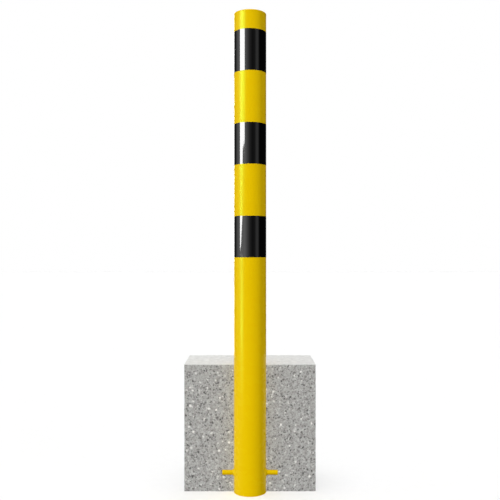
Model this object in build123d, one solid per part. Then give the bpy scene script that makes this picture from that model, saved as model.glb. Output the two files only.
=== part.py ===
from build123d import *

import os
from math import degrees

# Steel safety bollard: a capped, striped tube with a crossed anchor rod, cast into a concrete footing.
#
# Frame: origin on the post's axis at finished ground level, +Z up along the post. The anchor rod runs along
# X. The footing is shown in section: it stands behind the plane through the post's axis, on the +Y side, so
# that the buried end of the post and its anchor stay in view. All sizes are in millimetres.

# Post
TUBE_OD = 101.6
TUBE_WALL = 3.6
HEIGHT_ABOVE_GROUND = 1100.0
EMBEDDED_DEPTH = 400.0

# Top cap: a pressed disc of one thickness, slightly crowned to shed water, with a rounded outer edge
CAP_THICKNESS = 4.0
CAP_CROWN = 1.0
CAP_EDGE_RADIUS = 1.5

# Weld between the cap and the tube: each is bevelled, and the bead is dressed almost flush
CAP_WELD_BEVEL = 2.0
CAP_WELD_CROWN = 0.3

# Ground anchor: a round bar through two drilled holes, with a fillet weld all round on each side
ROD_DIAMETER = 16.0
ROD_LENGTH = 175.0
ROD_HEIGHT = 60.0
ROD_HOLE_CLEARANCE = 0.25
ROD_END_CHAMFER = 1.0
ROD_WELD_LEG = 4.0

# Adhesive film bands, each wrapped once round the post with its ends lapped at the back
BAND_NAMES = ("upper", "middle", "lower")
BAND_HEIGHT = 128.0
BAND_GAP = 160.0
BAND_DROP = 60.0
FILM_THICKNESS = 0.25
FILM_LAP = 20.0

# Concrete footing, cut through the post's axis; its depth is that of the half behind the cut
FOOTING_WIDTH = 414.0
FOOTING_DEPTH = 200.0

POST_RADIUS = TUBE_OD / 2
BORE_RADIUS = POST_RADIUS - TUBE_WALL
ROD_RADIUS = ROD_DIAMETER / 2
FOOT_Z = -EMBEDDED_DEPTH
CAP_RIM_Z = HEIGHT_ABOVE_GROUND - CAP_CROWN
TUBE_TOP_Z = CAP_RIM_Z - CAP_THICKNESS
ROD_Z = FOOT_Z + ROD_HEIGHT

FROM_BELOW = (Align.CENTER, Align.CENTER, Align.MIN)


def upright(radius, low, high):
    """A solid cylinder on the post's axis."""
    return Pos(0, 0, low) * Cylinder(radius, high - low, align=FROM_BELOW)


def crossbar(radius, length):
    """A solid bar along X through the post's axis, at the anchor's height."""
    return Pos(0, 0, ROD_Z) * Rot(0, 90, 0) * Cylinder(radius, length)


def cap_weld():
    """The bead that fills the V between the bevelled tube and cap."""
    root = (POST_RADIUS - CAP_WELD_BEVEL, TUBE_TOP_Z)
    low = (POST_RADIUS, TUBE_TOP_Z - CAP_WELD_BEVEL)
    high = (POST_RADIUS, TUBE_TOP_Z + CAP_WELD_BEVEL)
    face_of_bead = ThreePointArc(low, (POST_RADIUS + CAP_WELD_CROWN, TUBE_TOP_Z), high)
    outline = face_of_bead + Line(high, root) + Line(root, low)
    return revolve(Plane.XZ * make_face(outline), Axis.Z)


def post_tube():
    """The post itself, open at the foot, drilled for the anchor and bevelled for the cap's weld."""
    shell = upright(POST_RADIUS, FOOT_Z, TUBE_TOP_Z) - upright(BORE_RADIUS, FOOT_Z, TUBE_TOP_Z)
    drilled = shell - crossbar(ROD_RADIUS + ROD_HOLE_CLEARANCE, 2 * TUBE_OD)
    return drilled - cap_weld()


def top_cap():
    """A crowned disc of even thickness, with a flat seat as wide as the tube's wall."""
    edge_radius = min(CAP_EDGE_RADIUS, CAP_THICKNESS - CAP_WELD_BEVEL)
    edge = (POST_RADIUS, CAP_RIM_Z - edge_radius)
    shoulder = (POST_RADIUS - edge_radius, CAP_RIM_Z)
    crown = (0, HEIGHT_ABOVE_GROUND)
    hollow = (0, TUBE_TOP_Z + CAP_CROWN)
    seat_inside = (BORE_RADIUS, TUBE_TOP_Z)
    seat_outside = (POST_RADIUS, TUBE_TOP_Z)
    outline = TangentArc(edge, shoulder, tangent=(0, 1))
    outline += RadiusArc(shoulder, crown, -crown_radius(POST_RADIUS - edge_radius))
    outline += Line(crown, hollow)
    outline += RadiusArc(hollow, seat_inside, crown_radius(BORE_RADIUS))
    outline += Line(seat_inside, seat_outside) + Line(seat_outside, edge)
    return revolve(Plane.XZ * make_face(outline), Axis.Z) - cap_weld()


def crown_radius(half_width):
    """Radius of the arc that rises by the cap's crown over half_width."""
    return (half_width**2 + CAP_CROWN**2) / (2 * CAP_CROWN)


def anchor_rod():
    """The cross bar that keys the post into the concrete."""
    bar = crossbar(ROD_RADIUS, ROD_LENGTH)
    return chamfer(bar.edges().filter_by(GeomType.CIRCLE), ROD_END_CHAMFER)


def anchor_weld(side):
    """The fillet weld round the rod where it leaves the tube on one side: side is -1 or 1 along X."""
    start = BORE_RADIUS
    run = POST_RADIUS + ROD_WELD_LEG - start
    wide = ROD_RADIUS + run
    cone = Cone(wide, ROD_RADIUS, run, align=FROM_BELOW)
    fillet_cone = Pos(side * start, 0, ROD_Z) * Rot(0, side * 90, 0) * cone
    inside = upright(POST_RADIUS, FOOT_Z, TUBE_TOP_Z)
    return fillet_cone - crossbar(ROD_RADIUS, ROD_LENGTH) - inside


def film_band(top):
    """One turn of film below the height top, with a second layer where its ends lap at the back."""
    outer = POST_RADIUS + FILM_THICKNESS
    bottom = top - BAND_HEIGHT
    lap_angle = degrees(FILM_LAP / outer)
    lap = Pos(0, 0, bottom) * Rot(0, 0, 90 - lap_angle / 2) * Cylinder(
        outer + FILM_THICKNESS, BAND_HEIGHT, arc_size=lap_angle, align=(Align.NONE, Align.NONE, Align.MIN)
    )
    return upright(outer, bottom, top) + lap - upright(POST_RADIUS, bottom, top)


def concrete_footing():
    """The rear half of the footing, cast round the post, its anchor and its welds."""
    block = Pos(0, 0, FOOT_Z) * Box(
        FOOTING_WIDTH, FOOTING_DEPTH, EMBEDDED_DEPTH, align=(Align.CENTER, Align.MIN, Align.MIN)
    )
    cast_round = [upright(POST_RADIUS, FOOT_Z, 0), anchor_rod(), anchor_weld(-1), anchor_weld(1)]
    return block - cast_round


def parts():
    """Every piece by the name of its node."""
    named = {
        "post_tube": post_tube(),
        "top_cap": top_cap(),
        "cap_weld": cap_weld(),
        "anchor_rod": anchor_rod(),
        "anchor_weld_left": anchor_weld(-1),
        "anchor_weld_right": anchor_weld(1),
        "concrete_footing": concrete_footing(),
    }
    for index, place in enumerate(BAND_NAMES):
        top = HEIGHT_ABOVE_GROUND - BAND_DROP - index * (BAND_HEIGHT + BAND_GAP)
        named[f"black_band_{place}"] = film_band(top)
    return named


os.makedirs("parts", exist_ok=True)
for name, solid in parts().items():
    export_step(solid, f"parts/{name}.step")
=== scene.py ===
from math import atan2, cos, hypot, pi, radians, sin, sqrt

import bmesh
import bpy
import numpy as np
from mathutils import Matrix, Vector, kdtree, noise


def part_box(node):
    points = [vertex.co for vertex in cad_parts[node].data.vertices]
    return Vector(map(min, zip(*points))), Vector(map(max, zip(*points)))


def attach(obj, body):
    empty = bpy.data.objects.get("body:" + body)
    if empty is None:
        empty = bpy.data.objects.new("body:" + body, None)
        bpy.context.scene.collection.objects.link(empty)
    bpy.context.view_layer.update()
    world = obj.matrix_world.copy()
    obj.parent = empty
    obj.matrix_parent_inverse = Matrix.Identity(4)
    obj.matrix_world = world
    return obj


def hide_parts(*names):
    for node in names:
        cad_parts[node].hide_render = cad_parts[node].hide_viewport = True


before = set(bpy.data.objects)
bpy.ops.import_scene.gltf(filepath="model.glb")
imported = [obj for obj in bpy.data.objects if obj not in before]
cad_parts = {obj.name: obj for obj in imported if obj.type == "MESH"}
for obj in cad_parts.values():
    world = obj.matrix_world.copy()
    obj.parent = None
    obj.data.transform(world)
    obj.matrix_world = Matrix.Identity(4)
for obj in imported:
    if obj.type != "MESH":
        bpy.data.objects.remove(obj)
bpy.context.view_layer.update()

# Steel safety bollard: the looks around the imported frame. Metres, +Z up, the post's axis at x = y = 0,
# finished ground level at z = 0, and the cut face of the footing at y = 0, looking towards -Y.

MM = 0.001
FULL_TURN = 2 * pi

tube_low, tube_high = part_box("post_tube")
cap_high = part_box("top_cap")[1]
weld_low, weld_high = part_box("cap_weld")
rod_low, rod_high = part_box("anchor_rod")
footing_low, footing_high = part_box("concrete_footing")

# Post: radii and heights from the frame, wall and small edges as in the design
POST_RADIUS = tube_high.x
WALL = 3.6 * MM
BORE_RADIUS = POST_RADIUS - WALL
FOOT = tube_low.z
TUBE_TOP = tube_high.z
SAWN_EDGE = 0.4 * MM
TURN_STEPS = 240

# The inside seam bead of the tube, at the back
SEAM_HEIGHT = 0.5 * MM
SEAM_HALF_TURN = radians(2.4)

# Cap and the weld under it
CAP_TOP = cap_high.z
CAP_CROWN = 1.0 * MM
CAP_RIM = CAP_TOP - CAP_CROWN
CAP_EDGE_RADIUS = 1.5 * MM
WELD_BEVEL = (weld_high.z - weld_low.z) / 2
WELD_CROWN = weld_high.x - POST_RADIUS

# Anchor
ROD_RADIUS = (rod_high.z - rod_low.z) / 2
ROD_HALF_LENGTH = rod_high.x
ROD_HEIGHT = (rod_high.z + rod_low.z) / 2
ROD_CHAMFER = 1.0 * MM
HOLE_CLEARANCE = 0.25 * MM
ANCHOR_WELD_LEG = 4.0 * MM

# Film
FILM = 0.25 * MM
FILM_LAP = 20.0 * MM
FILM_STEPS = 288

# Footing
HALF_WIDTH = footing_high.x
FOOTING_BACK = footing_high.y


# ---------------------------------------------------------------- mesh helpers

def add_object(name, bm, smooth_angle=radians(32)):
    """An object from bm, smooth except where two faces meet at more than smooth_angle."""
    bmesh.ops.recalc_face_normals(bm, faces=bm.faces)
    mesh = bpy.data.meshes.new(name)
    bm.to_mesh(mesh)
    bm.free()
    mesh.shade_smooth()
    mesh.set_sharp_from_angle(angle=smooth_angle)
    obj = bpy.data.objects.new(name, mesh)
    bpy.context.scene.collection.objects.link(obj)
    return obj


def finish_piece(obj, node, material):
    """Gives a piece its material and slot, and puts it in the place of its CAD node."""
    obj.data.materials.append(material)
    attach(obj, "root")
    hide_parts(node)
    return obj


def even_turn(steps=TURN_STEPS):
    """Angles once round the axis, evenly spaced."""
    return [FULL_TURN * step / steps for step in range(steps)]


def join_rings(bm, rings):
    """Faces from each ring of vertices to the next, and from the last one back to the first."""
    for near, far in zip(rings, rings[1:] + rings[:1]):
        for i in range(len(near)):
            j = (i + 1) % len(near)
            bm.faces.new((near[i], far[i], far[j], near[j]))


def turned(section, angles):
    """A bmesh swept once round Z. section(angle) is a closed loop of (radius, height) points."""
    bm = bmesh.new()
    rings = []
    for angle in angles:
        turn = cos(angle), sin(angle)
        rings.append([bm.verts.new((r * turn[0], r * turn[1], z)) for r, z in section(angle)])
    join_rings(bm, rings)
    bmesh.ops.remove_doubles(bm, verts=bm.verts, dist=1e-7)
    return bm


def arc(centre, radius, start, end, steps):
    """Points (radius, height) along an arc in the section plane, ends included; angles in degrees."""
    turns = [radians(start + (end - start) * step / steps) for step in range(steps + 1)]
    return [(centre[0] + radius * cos(t), centre[1] + radius * sin(t)) for t in turns]


def smoothstep(low, high, value):
    t = np.clip((value - low) / (high - low), 0, 1)
    return t * t * (3 - 2 * t)


# ---------------------------------------------------------------- post, cap and welds

def tube_piece():
    """The tube with broken sawn edges, its inside seam bead, the weld bevel and the two anchor holes."""
    around_holes = ROD_RADIUS + 6 * MM
    sliver = 2e-5

    def section(angle):
        away = atan2(sin(angle - pi / 2), cos(angle - pi / 2))
        bore = BORE_RADIUS - SEAM_HEIGHT * max(0.0, 1 - (away / SEAM_HALF_TURN) ** 2)
        return [
            (POST_RADIUS - SAWN_EDGE, FOOT), (POST_RADIUS, FOOT + SAWN_EDGE),
            (POST_RADIUS, ROD_HEIGHT - around_holes), (POST_RADIUS, ROD_HEIGHT + around_holes),
            (POST_RADIUS, 0.0), (POST_RADIUS, TUBE_TOP - WELD_BEVEL), (POST_RADIUS - WELD_BEVEL, TUBE_TOP),
            (BORE_RADIUS, TUBE_TOP), (bore, TUBE_TOP - WALL),
            (bore, ROD_HEIGHT + around_holes), (bore, ROD_HEIGHT - around_holes),
            (bore, FOOT + SAWN_EDGE), (bore + SAWN_EDGE, FOOT),
        ]

    blank_obj = add_object("blank", turned(section, even_turn()))
    drill = bmesh.new()
    lay_along_x = Matrix.Translation((0, 0, ROD_HEIGHT)) @ Matrix.Rotation(pi / 2, 4, "Y")
    bmesh.ops.create_cone(
        drill, cap_ends=True, segments=72, radius1=ROD_RADIUS + HOLE_CLEARANCE,
        radius2=ROD_RADIUS + HOLE_CLEARANCE, depth=4 * POST_RADIUS, matrix=lay_along_x,
    )
    drill_obj = add_object("drill", drill)
    cut = blank_obj.modifiers.new("holes", "BOOLEAN")
    cut.operation, cut.object, cut.solver = "DIFFERENCE", drill_obj, "EXACT"
    drilled = bmesh.new()
    drilled.from_object(blank_obj, bpy.context.evaluated_depsgraph_get())
    bpy.data.objects.remove(blank_obj)
    bpy.data.objects.remove(drill_obj)
    bmesh.ops.triangulate(drilled, faces=[f for f in drilled.faces if len(f.verts) > 4])
    bmesh.ops.remove_doubles(drilled, verts=drilled.verts, dist=sliver)
    bmesh.ops.dissolve_degenerate(drilled, dist=sliver, edges=drilled.edges)
    return add_object("steel_tube", drilled)


def crown_arc(half_width, low, rise, steps=14):
    """Points from the axis out to half_width along an arc that rises by rise at the axis."""
    radius = (half_width**2 + rise**2) / (2 * rise)
    centre = low + rise - radius
    return [(x, centre + sqrt(radius**2 - x**2)) for x in np.linspace(0, half_width, steps)]


def cap_piece():
    """The crowned disc, with a rounded rim and the weld's bevel."""
    flat = POST_RADIUS - CAP_EDGE_RADIUS
    outside = crown_arc(flat, CAP_RIM, CAP_CROWN)
    edge = arc((flat, CAP_RIM - CAP_EDGE_RADIUS), CAP_EDGE_RADIUS, 90, 0, 8)[1:]
    seat = [(POST_RADIUS, TUBE_TOP + WELD_BEVEL), (POST_RADIUS - WELD_BEVEL, TUBE_TOP)]
    inside = crown_arc(BORE_RADIUS, TUBE_TOP, CAP_CROWN)[::-1]
    return add_object("cap_disc", turned(lambda angle: outside + edge + seat + inside, even_turn()))


def cap_weld_piece():
    """The bead under the cap, ground almost flush, so only a trace of its ripples is left."""
    ripples, ripple_height = 96, 0.03 * MM
    bulge_radius = (WELD_BEVEL**2 + WELD_CROWN**2) / (2 * WELD_CROWN)
    bulge_centre = POST_RADIUS + WELD_CROWN - bulge_radius

    def section(angle):
        ripple = ripple_height * (0.5 + 0.5 * sin(ripples * angle))
        ground = ripple * (0.6 + 0.4 * noise.noise(Vector((3 * cos(angle), 3 * sin(angle), 0))))
        face = []
        for height in np.linspace(-WELD_BEVEL, WELD_BEVEL, 9):
            bulge = bulge_centre + sqrt(bulge_radius**2 - height**2)
            face.append((bulge - ground * (1 - (height / WELD_BEVEL) ** 2), TUBE_TOP + height))
        return [(POST_RADIUS - WELD_BEVEL, TUBE_TOP)] + face

    return add_object("cap_bead", turned(section, even_turn(2 * TURN_STEPS)))


def rod_piece():
    """The anchor bar, chamfered at both ends, with the slight unevenness of rolled stock."""
    stations = [ROD_HALF_LENGTH - ROD_CHAMFER - i * 7 * MM for i in range(5)]
    half = [(ROD_RADIUS - ROD_CHAMFER, ROD_HALF_LENGTH)] + [(ROD_RADIUS, s) for s in stations]
    loop = [(0.0, ROD_HALF_LENGTH)] + half + [(r, -z) for r, z in half[::-1]] + [(0.0, -ROD_HALF_LENGTH)]
    bm = turned(lambda angle: loop, even_turn(72))
    for v in bm.verts:
        uneven = 0.08 * MM * noise.noise(v.co * 90)
        reach = hypot(v.co.x, v.co.y)
        if reach > ROD_RADIUS / 2:
            scale = 1 - (0.08 * MM + uneven) / ROD_RADIUS
            v.co.x *= scale
            v.co.y *= scale
    bm.transform(Matrix.Translation((0, 0, ROD_HEIGHT)) @ Matrix.Rotation(pi / 2, 4, "Y"))
    return add_object("anchor_bar", bm)


def anchor_bead_piece(name, side):
    """The fillet weld round the rod on one side: a convex bead laid in overlapping ripples."""
    arc_steps, ripples = 8, 30
    bulge, ripple_height = 0.5 * MM, 0.28 * MM
    bm = bmesh.new()
    rings = []
    for angle in even_turn(180):
        around = Vector((0, cos(angle), sin(angle)))
        ripple = ripple_height * abs(sin(ripples * angle / 2)) + 0.15 * MM * noise.noise(around * 4)
        leg = ANCHOR_WELD_LEG + 0.35 * MM * noise.noise(around * 2.3 + Vector((side, 0, 0))) - 0.3 * MM

        def on_tube(reach):
            point = around * reach
            point.x = sqrt(POST_RADIUS**2 - point.y**2)
            return point

        root, toe_tube = on_tube(ROD_RADIUS), on_tube(ROD_RADIUS + leg)
        toe_rod = root + Vector((leg, 0, 0))
        outward = (Vector((1, 0, 0)) + around).normalized()
        loop = [root - outward * 0.4 * MM]
        for k in range(arc_steps + 1):
            t = k / arc_steps
            swell = (bulge + ripple) * 4 * t * (1 - t) - 0.6 * MM * t * (1 - t)
            loop.append(toe_rod.lerp(toe_tube, t) + outward * swell)
        rings.append([bm.verts.new((side * p.x, p.y, p.z + ROD_HEIGHT)) for p in loop])
    join_rings(bm, rings)
    return add_object(name, bm, radians(60))


def film_piece(name, node):
    """One wrap of film: a free edge lapped over its own start at the back of the post."""
    low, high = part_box(node)
    lap = FILM_LAP / POST_RADIUS
    lap_start, lap_end = pi / 2 - lap / 2, pi / 2 + lap / 2
    bridge, cut = 1.2 * MM / POST_RADIUS, 0.05 * MM / POST_RADIUS
    edge = 0.06 * MM
    near_lap = [lap_start - bridge * k / 6 for k in range(7)] + [lap_start + cut]
    near_lap += [lap_end - cut, lap_end, lap_end + cut]
    clear_of_lap = [a for a in even_turn(FILM_STEPS) if min(abs(a - b) for b in near_lap) > 1e-3]
    angles = sorted(clear_of_lap + near_lap)

    def section(angle):
        over = smoothstep(lap_start - bridge, lap_start, angle) * (angle < lap_end)
        wave = 0.003 * MM * noise.noise(Vector((2 * cos(angle), 2 * sin(angle), low.z * 9)))
        outer = POST_RADIUS + FILM * (1 + over) + wave
        return [
            (POST_RADIUS, low.z), (outer - edge, low.z), (outer, low.z + edge),
            (outer, (low.z + high.z) / 2), (outer, high.z - edge), (outer - edge, high.z),
            (POST_RADIUS, high.z),
        ]

    return add_object(name, turned(section, angles), radians(30))


# ---------------------------------------------------------------- footing

CUT_STEP = 2.4 * MM
FORMED_STEP = 6.0 * MM


def stepped(stops, longest):
    """Positions from the first stop to the last, through every stop, not much over longest apart."""
    line = [stops[0]]
    for start, end in zip(stops, stops[1:]):
        steps = max(1, round((end - start) / longest))
        line += list(np.linspace(start, end, steps + 1)[1:])
    return line


def outer_edge(run):
    """The point of the footing's outline a distance run from its left front corner, round the back."""
    if run < FOOTING_BACK:
        return Vector((-HALF_WIDTH, run))
    if run < FOOTING_BACK + 2 * HALF_WIDTH:
        return Vector((run - FOOTING_BACK - HALF_WIDTH, FOOTING_BACK))
    return Vector((HALF_WIDTH, 2 * FOOTING_BACK + 2 * HALF_WIDTH - run))


def gridded_footing():
    """The half block with its half-round channel: a closed grid bent round the post, with rows and
    columns of vertices along the edges of the rod and its welds."""
    whole = 2 * FOOTING_BACK + 2 * HALF_WIDTH
    around = stepped([0, FOOTING_BACK, FOOTING_BACK + 2 * HALF_WIDTH, whole], FORMED_STEP)
    rod_end = ROD_HALF_LENGTH + 0.2 * MM
    across = stepped(
        [POST_RADIUS, POST_RADIUS + ANCHOR_WELD_LEG, ROD_HALF_LENGTH, rod_end, HALF_WIDTH], CUT_STEP
    )
    share = [(x - POST_RADIUS) / (HALF_WIDTH - POST_RADIUS) for x in across]
    up = stepped([footing_low.z, rod_low.z, rod_high.z, footing_high.z], CUT_STEP)
    last = len(around) - 1, len(share) - 1, len(up) - 1
    outer = [outer_edge(run) for run in around]
    bm, made = bmesh.new(), {}

    def vertex(*key):
        if key not in made:
            i, j, k = key
            inner = outer[i].normalized() * POST_RADIUS
            x, y = inner.lerp(outer[i], share[j])
            made[key] = bm.verts.new((x, y, up[k]))
        return made[key]

    for fixed in range(3):
        first, second = [axis for axis in range(3) if axis != fixed]
        for side in (0, last[fixed]):
            for a in range(last[first]):
                for b in range(last[second]):
                    corners = []
                    for da, db in ((0, 0), (1, 0), (1, 1), (0, 1)):
                        key = [0, 0, 0]
                        key[fixed], key[first], key[second] = side, a + da, b + db
                        corners.append(vertex(*key))
                    bm.faces.new(corners)
    bmesh.ops.recalc_face_normals(bm, faces=bm.faces)
    return bm


def scatter_grains(rng, count, low_radius, high_radius, tone):
    """Grains on the cut face: (x, z, radius, tone), tone from -1 for a pore, painted dark as shade, to 1 for
    a light stone.
    """
    x = rng.uniform(-HALF_WIDTH, HALF_WIDTH, count)
    z = rng.uniform(footing_low.z, footing_high.z, count)
    radius = low_radius + (high_radius - low_radius) * rng.random(count) ** 2
    return np.column_stack([x, z, radius, tone * rng.uniform(0.6, 1.0, count)])


def grain_at(points, grains):
    """For each point of the cut face, how far it lies in its nearest grain: -1 dark to 1 light."""
    tree = kdtree.KDTree(len(grains))
    for i, (x, z, _, _) in enumerate(grains):
        tree.insert((x, 0, z), i)
    tree.balance()
    value = np.zeros(len(points))
    for i, (x, _, z) in enumerate(points):
        jitter = 1.3 * MM * noise.noise(Vector((x, 0, z)) * 420)
        for _, found, distance in tree.find_n((x, 0, z), 3):
            _, _, radius, tone = grains[found]
            inside = smoothstep(radius * 1.25, radius * 0.55, distance + jitter)
            if abs(tone * inside) > abs(value[i]):
                value[i] = tone * inside
    return value


def footing_piece():
    """The cast half block: sawn front with stones and pores, floated top, formed sides, worn arrises."""
    bm = gridded_footing()
    bm.normal_update()
    points = np.array([v.co[:] for v in bm.verts])
    normals = np.array([v.normal[:] for v in bm.verts])
    x, y, z = points.T

    rng = np.random.default_rng(11)
    grains = np.vstack([
        scatter_grains(rng, 620, 2.1 * MM, 3.4 * MM, -1.0),
        scatter_grains(rng, 115, 2.3 * MM, 5.0 * MM, 1.0),
        scatter_grains(rng, 700, 2.1 * MM, 3.8 * MM, -0.5),
        scatter_grains(rng, 750, 2.1 * MM, 4.2 * MM, 0.45),
    ])
    on_cut = (y < 1e-6) & (np.abs(x) > POST_RADIUS - 1e-6)
    grain = np.zeros(len(points))
    grain[on_cut] = grain_at(points[on_cut], grains)

    fine = np.array([noise.fractal(Vector(p) * 160, 1.0, 2.0, 3) for p in points])
    broad = np.array([noise.noise(Vector(p) * 28) for p in points])
    sunk = 0.12 * MM * (1 + fine) + 0.2 * MM * (1 + broad)
    sunk += np.where(grain < -0.5, -1.1 * MM * grain, -0.15 * MM * grain)
    from_arris = np.sort(np.column_stack([
        np.abs(z - footing_high.z), np.abs(np.abs(x) - HALF_WIDTH), np.abs(y), np.abs(y - FOOTING_BACK),
        np.abs(z - footing_low.z),
    ]), axis=1)[:, 1]
    chipped = smoothstep(5 * MM, 0, from_arris)
    chips = np.array([noise.noise(Vector(p) * 75 + Vector((5, 0, 0))) for p in points])
    sunk += chipped * (0.35 * MM + 1.6 * MM * np.clip(chips, 0, 1))
    near_post = np.hypot(x, y) - POST_RADIUS
    sunk = np.clip(sunk, 0, None) * smoothstep(0.0, 4 * MM, near_post)
    moved = points - normals * sunk[:, None]
    moved[:, 2] = np.maximum(moved[:, 2], footing_low.z)

    bed = bed_depth(x, z) * on_cut
    moved[:, 1] = np.where(bed > 0, bed, moved[:, 1])
    for v, co in zip(bm.verts, moved):
        v.co = co
    obj = add_object("footing_block", bm, radians(45))
    attribute = obj.data.attributes.new("grain", "FLOAT", "POINT")
    attribute.data.foreach_set("value", grain.astype(np.float32))
    return obj


def bed_depth(x, z):
    """How deep the rod and its welds sit in the cut face at a point, so that the concrete closes on them."""
    reach = np.abs(x)
    weld = np.clip(POST_RADIUS + ANCHOR_WELD_LEG - reach, 0, ANCHOR_WELD_LEG)
    radius = np.where(reach < ROD_HALF_LENGTH, ROD_RADIUS - 0.2 * MM + weld, 0)
    return np.sqrt(np.clip(radius**2 - (z - ROD_HEIGHT) ** 2, 0, None))


# ---------------------------------------------------------------- materials

class NodeTree:
    """A short way to add nodes to a tree and link them."""

    def __init__(self, tree):
        self.tree = tree
        self.tree.nodes.clear()

    def add(self, kind, **values):
        node = self.tree.nodes.new(kind)
        for key, value in values.items():
            setattr(node, key, value)
        return node

    def link(self, source, target):
        self.tree.links.new(source, target)

    def feed(self, socket, value):
        """Gives a socket a number, an RGB triple or what another node puts out."""
        if isinstance(value, (int, float)):
            socket.default_value = value
        elif isinstance(value, tuple):
            socket.default_value = (*value, 1)
        else:
            self.link(value, socket)

    def math(self, operation, first, second):
        node = self.add("ShaderNodeMath", operation=operation)
        self.feed(node.inputs[0], first)
        self.feed(node.inputs[1], second)
        return node.outputs["Value"]

    def span(self, value, low, high, to_low=0.0, to_high=1.0):
        """value taken from low..high to to_low..to_high, clamped."""
        node = self.add("ShaderNodeMapRange", clamp=True)
        for name, number in (("From Min", low), ("From Max", high), ("To Min", to_low), ("To Max", to_high)):
            node.inputs[name].default_value = number
        self.link(value, node.inputs["Value"])
        return node.outputs["Result"]

    def pick(self, test, no, yes):
        """no where test is 0, yes where it is 1."""
        node = self.add("ShaderNodeMix", data_type="FLOAT")
        self.link(test, node.inputs[0])
        self.feed(node.inputs[2], no)
        self.feed(node.inputs[3], yes)
        return node.outputs[0]


class Nodes(NodeTree):
    """A short way to build one material. Textures use object coordinates, in metres."""

    def __init__(self, name):
        self.material = bpy.data.materials.new(name)
        self.material.use_nodes = True
        super().__init__(self.material.node_tree)
        self.surface = self.add("ShaderNodeBsdfPrincipled")
        output = self.add("ShaderNodeOutputMaterial")
        self.link(self.surface.outputs["BSDF"], output.inputs["Surface"])
        self.place = self.add("ShaderNodeTexCoord").outputs["Object"]

    def noise(self, scale, detail=2.0, rough=0.5, stretch=None):
        node = self.add("ShaderNodeTexNoise")
        node.inputs["Scale"].default_value = scale
        node.inputs["Detail"].default_value = detail
        node.inputs["Roughness"].default_value = rough
        place = self.place
        if stretch:
            mapping = self.add("ShaderNodeMapping")
            mapping.inputs["Scale"].default_value = stretch
            self.link(place, mapping.inputs["Vector"])
            place = mapping.outputs["Vector"]
        self.link(place, node.inputs["Vector"])
        return node.outputs["Fac"]

    def cells(self, scale, feature="F1", output="Distance", jitter=1.0):
        node = self.add("ShaderNodeTexVoronoi", feature=feature)
        node.inputs["Scale"].default_value = scale
        node.inputs["Randomness"].default_value = jitter
        self.link(self.place, node.inputs["Vector"])
        return node.outputs[output]

    def mix(self, factor, first, second):
        """Colours first and second mixed by factor; each is a socket or an RGB triple."""
        node = self.add("ShaderNodeMix", data_type="RGBA")
        self.link(factor, node.inputs["Factor"])
        self.feed(node.inputs[6], first)
        self.feed(node.inputs[7], second)
        return node.outputs[2]

    def bump(self, height, distance, strength=1.0, under=None):
        node = self.add("ShaderNodeBump")
        node.inputs["Distance"].default_value = distance
        node.inputs["Strength"].default_value = strength
        self.link(height, node.inputs["Height"])
        if under:
            self.link(under, node.inputs["Normal"])
        return node.outputs["Normal"]

    def done(self, color, roughness, normal, **constants):
        self.link(color, self.surface.inputs["Base Color"])
        self.link(roughness, self.surface.inputs["Roughness"])
        self.link(normal, self.surface.inputs["Normal"])
        for name, value in constants.items():
            self.surface.inputs[name.replace("_", " ")].default_value = value
        return self.material


def yellow_powder_coat(name, shade=1.0):
    """Semi-gloss traffic yellow with a fine orange peel and a faint drift of shade along the post."""
    n = Nodes(name)
    drift = n.span(n.noise(7, 3, stretch=(1, 1, 0.35)), 0.35, 0.65)
    pale, deep = (0.812, 0.530, 0.0009), (0.828, 0.540, 0.0014)
    # shade below 1 makes a darker copy of the whole coat: painted shade.
    color = n.mix(drift, tuple(shade * c for c in pale), tuple(shade * c for c in deep))
    roughness = n.span(n.noise(30, 4), 0.3, 0.7, 0.24, 0.31)
    peel = n.bump(n.noise(420, 2, 0.4), 0.04 * MM, 0.3)
    normal = n.bump(n.noise(35, 2), 0.15 * MM, 0.15, peel)
    return n.done(color, roughness, normal, Specular_IOR_Level=0.22, Specular_Tint=(0.20, 1.0, 0.05, 1))


def black_gloss_film():
    """High-gloss black film: nearly a mirror, with dust nibs and a faint drawn grain round the post."""
    n = Nodes("black_gloss_film")
    nibs = n.span(n.noise(1300, 1), 0.74, 0.80)
    color = n.mix(nibs, (0.0018, 0.0018, 0.0019), (0.012, 0.012, 0.012))
    drawn = n.noise(60, 3, stretch=(1, 1, 14))
    roughness = n.span(drawn, 0.3, 0.7, 0.035, 0.075)
    normal = n.bump(n.noise(40, 2, stretch=(1, 1, 0.4)), 0.01 * MM, 0.2)
    return n.done(color, roughness, normal, Specular_IOR_Level=0.5)


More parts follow.
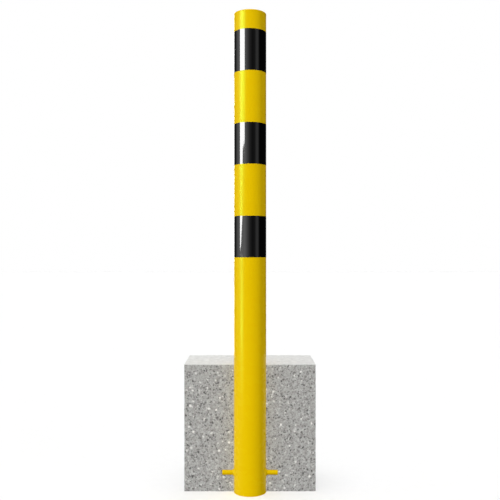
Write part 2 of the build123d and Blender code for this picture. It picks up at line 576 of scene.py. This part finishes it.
def cast_concrete():
    """Sawn concrete in front, with light and dark aggregate and pores darkened as painted shade; a paler
    floated cement coat on top, made paler still as painted light from above; formed sides with bug holes as
    spots of painted shade.
    """
    n = Nodes("cast_concrete")
    axes = n.add("ShaderNodeSeparateXYZ")
    n.link(n.place, axes.inputs["Vector"])
    height, depth = axes.outputs["Z"], axes.outputs["Y"]
    attribute = n.add("ShaderNodeAttribute", attribute_name="grain")
    grain = attribute.outputs["Fac"]

    mottle = n.span(n.noise(95, 4, 0.6), 0.36, 0.64)
    matrix = n.mix(mottle, (0.315, 0.300, 0.290), (0.465, 0.472, 0.455))
    speck = n.span(n.cells(330, output="Color"), 0.0, 1.0)
    matrix = n.mix(n.span(speck, 0.10, 0.28, 0.8, 0.0), matrix, (0.13, 0.127, 0.122))
    matrix = n.mix(n.span(speck, 0.76, 0.90, 0.0, 0.6), matrix, (0.64, 0.645, 0.625))
    sand = n.span(n.cells(560, output="Color"), 0.0, 1.0)
    matrix = n.mix(n.span(sand, 0.05, 0.35, 0.45, 0.0), matrix, (0.21, 0.205, 0.2))
    matrix = n.mix(n.span(sand, 0.68, 0.90, 0.0, 0.55), matrix, (0.62, 0.625, 0.61))
    # Grains below zero darken the cut face towards near-black: painted shade in the pores, the deepest of
    # which are also sunk into the face.
    cut = n.mix(n.span(grain, -0.1, -0.85), matrix, (0.09, 0.087, 0.083))
    cut = n.mix(n.span(grain, 0.1, 0.9), cut, (0.80, 0.80, 0.77))

    # The top face: a paler floated cement coat, made paler still by painted light from above.
    skin_and_top_light = n.mix(n.span(n.noise(60, 5, 0.65), 0.35, 0.65), (0.60, 0.603, 0.597), (0.755, 0.758, 0.75))
    formed = n.mix(n.span(n.noise(18, 6, 0.6), 0.35, 0.65), (0.36, 0.355, 0.335), (0.47, 0.467, 0.445))
    # Bug holes here are colour only: dark spots of painted shade where small voids would be.
    painted_bug_hole_shade = n.span(n.cells(62), 0.15, 0.21, 1.0, 0.0)
    formed = n.mix(n.math("MULTIPLY", painted_bug_hole_shade, 0.75), formed, (0.13, 0.126, 0.118))
    color = n.mix(n.span(depth, 2.5 * MM, 3.5 * MM), cut, formed)
    on_top = n.span(height, -3.0 * MM, -1.6 * MM)
    color = n.mix(on_top, color, skin_and_top_light)

    roughness = n.span(n.noise(200, 3), 0.3, 0.7, 0.82, 0.95)
    grit = n.bump(n.noise(650, 4, 0.65), 0.35 * MM, 0.6)
    normal = n.bump(n.noise(150, 3, 0.6), 0.6 * MM, 0.35, grit)
    return n.done(color, roughness, normal, Specular_IOR_Level=0.25)


# ---------------------------------------------------------------- studio

EYE_HEIGHT = 0.341
EYE_DISTANCE = 2.183
LENS = 50.0
SENSOR_WIDTH = 36.0
LENS_SHIFT = 0.0114


def camera():
    """A level view from the front. The small shift keeps the eye level just under the picture's middle."""
    data = bpy.data.cameras.new("camera")
    data.lens, data.sensor_width, data.shift_y = LENS, SENSOR_WIDTH, LENS_SHIFT
    obj = bpy.data.objects.new("camera", data)
    obj.location = (0, -EYE_DISTANCE, EYE_HEIGHT)
    obj.rotation_euler = (pi / 2, 0, 0)
    bpy.context.scene.collection.objects.link(obj)
    bpy.context.scene.camera = obj


def sun(name, azimuth, elevation, level, spread, shadow):
    """A distant light from azimuth (0 is the front, positive to the right) that only lights, unmirrored.
    level is what it adds, over pi, on an upright face turned to it, or on the ground if it is overhead."""
    data = bpy.data.lights.new(name, "SUN")
    data.energy = level * pi / (1 if elevation == 90 else cos(radians(elevation)))
    data.angle = radians(spread)
    data.use_shadow = shadow
    obj = bpy.data.objects.new(name, data)
    towards = Vector((
        sin(radians(azimuth)) * cos(radians(elevation)), -cos(radians(azimuth)) * cos(radians(elevation)),
        sin(radians(elevation)),
    ))
    obj.rotation_euler = towards.to_track_quat("Z", "Y").to_euler()
    obj.visible_glossy = False
    bpy.context.scene.collection.objects.link(obj)


PANEL_DISTANCE = 3.0
SOFT_LEVEL = 0.175
FLOOR_LEVEL = 0.3


def softbox(name, outline, strength):
    """A glowing screen seen only in reflections. outline is (azimuth, height) points on a wide circle."""
    bm = bmesh.new()
    corners = []
    for azimuth, height in outline:
        a = radians(azimuth)
        corners.append(bm.verts.new((PANEL_DISTANCE * sin(a), -PANEL_DISTANCE * cos(a), height)))
    bm.faces.new(corners)
    obj = add_object(name, bm)
    material = bpy.data.materials.new(name)
    material.use_nodes = True
    n = NodeTree(material.node_tree)
    glow = n.add("ShaderNodeEmission")
    glow.inputs["Strength"].default_value = strength
    n.link(glow.outputs["Emission"], n.add("ShaderNodeOutputMaterial").inputs["Surface"])
    obj.data.materials.append(material)
    obj.visible_camera = obj.visible_diffuse = obj.visible_shadow = obj.visible_transmission = False


def studio_world():
    """White behind the object, an even grey for soft light, and for reflections a dark room that
    brightens round the softbox on the left and towards the floor."""
    world = bpy.data.worlds.new("studio")
    bpy.context.scene.world = world
    world.use_nodes = True
    world.cycles.sampling_method = "NONE"
    n = NodeTree(world.node_tree)

    axes = n.add("ShaderNodeSeparateXYZ")
    n.link(n.add("ShaderNodeTexCoord").outputs["Generated"], axes.inputs["Vector"])
    azimuth = n.math("ARCTAN2", axes.outputs["X"], n.math("MULTIPLY", axes.outputs["Y"], -1.0))
    turn = n.math("ADD", n.math("DIVIDE", azimuth, FULL_TURN), 0.5)
    ramp_node = n.add("ShaderNodeValToRGB")
    ramp = ramp_node.color_ramp
    room = {
        -180: 0.2, -150: 0.02, -128: 0.03, -114: 0.25, -95: 1.2, -76: 1.9, -38: 2.2, -18: 1.0, -2: 0.32,
        16: 0.08, 34: 0.14, 46: 0.6, 58: 0.6, 66: 0.08, 74: 0.0, 150: 0.01, 179: 0.2,
    }
    brightest = max(room.values())
    while len(ramp.elements) < len(room):
        ramp.elements.new(0.5)
    for element, (degrees, level) in zip(ramp.elements, room.items()):
        element.position = degrees / 360 + 0.5
        shade = level / brightest
        element.color = (shade, shade, shade, 1)
    n.link(turn, ramp_node.inputs["Fac"])
    side_level = n.math("MULTIPLY", ramp_node.outputs["Color"], brightest)
    pale_floor = n.span(axes.outputs["Z"], -0.40, -0.60, 0.0, FLOOR_LEVEL)
    mirrored = n.math("ADD", side_level, pale_floor)

    path = n.add("ShaderNodeLightPath")
    unseen = n.pick(path.outputs["Is Glossy Ray"], SOFT_LEVEL, mirrored)
    seen = n.pick(path.outputs["Is Camera Ray"], unseen, 1.0)
    background = n.add("ShaderNodeBackground")
    background.inputs["Color"].default_value = (1, 1, 1, 1)
    n.link(seen, background.inputs["Strength"])
    n.link(background.outputs["Background"], n.add("ShaderNodeOutputWorld").inputs["Surface"])


def studio_floor():
    """A wide pale floor under the footing, bright enough to run into the white behind it."""
    bm = bmesh.new()
    half = 30.0
    level = footing_low.z - 0.1 * MM
    corners = ((-half, -half), (half, -half), (half, half), (-half, half))
    bm.faces.new([bm.verts.new((x, y, level)) for x, y in corners])
    obj = add_object("floor", bm)
    n = Nodes("pale_floor")
    grain = n.noise(40, 3)
    obj.data.materials.append(n.done(
        n.mix(grain, (0.90, 0.90, 0.90), (0.93, 0.93, 0.93)), n.span(grain, 0, 1, 0.9, 1.0),
        n.bump(grain, 0.1 * MM, 0.1), Specular_IOR_Level=0.0,
    ))
    obj.visible_diffuse = obj.visible_glossy = False


def studio():
    studio_world()
    studio_floor()
    sun("key", -45, 25, 0.80, 6, False)
    sun("fill", 60, 10, 0.34, 20, False)
    sun("back", 180, 20, 0.25, 20, False)
    sun("overhead", 0, 90, 0.40, 50, True)
    tall = 2.8
    stepped_side = [(-38, tall), (-38, 1.17), (-53, 1.13), (-55, 0.64), (-67, 0.41)]
    softbox("softbox", [(-74, 0.39), (-74, tall)] + stepped_side, 24)
    softbox("low_softbox", [(-70, 0.30), (-50, 0.30), (-52, -0.30), (-69, -0.30)], 22)
    softbox("floor_softbox", [(-70, -0.32), (-50, -0.32), (-52, -1.5), (-68, -1.5)], 30)
    softbox("rear_strip", [(-165, -1.5), (-165, tall), (-155, tall), (-155, -1.5)], 8)
    view = bpy.context.scene.view_settings
    view.view_transform, view.look, view.exposure, view.gamma = "Standard", "None", 0.0, 1.0


# ---------------------------------------------------------------- the object

camera()
yellow, black, concrete = yellow_powder_coat("yellow_coat"), black_gloss_film(), cast_concrete()
# The bar and its welds take the same yellow darkened to 0.82, as painted shade on the bar.
shaded_yellow = yellow_powder_coat("shaded_yellow_coat", 0.82)
finish_piece(tube_piece(), "post_tube", yellow)
finish_piece(cap_piece(), "top_cap", yellow)
finish_piece(cap_weld_piece(), "cap_weld", yellow)
finish_piece(rod_piece(), "anchor_rod", shaded_yellow)
for side_name, side in (("left", -1), ("right", 1)):
    bead = anchor_bead_piece(f"anchor_bead_{side_name}", side)
    finish_piece(bead, f"anchor_weld_{side_name}", shaded_yellow)
for place in ("upper", "middle", "lower"):
    finish_piece(film_piece(f"film_{place}", f"black_band_{place}"), f"black_band_{place}", black)
finish_piece(footing_piece(), "concrete_footing", concrete)
studio()
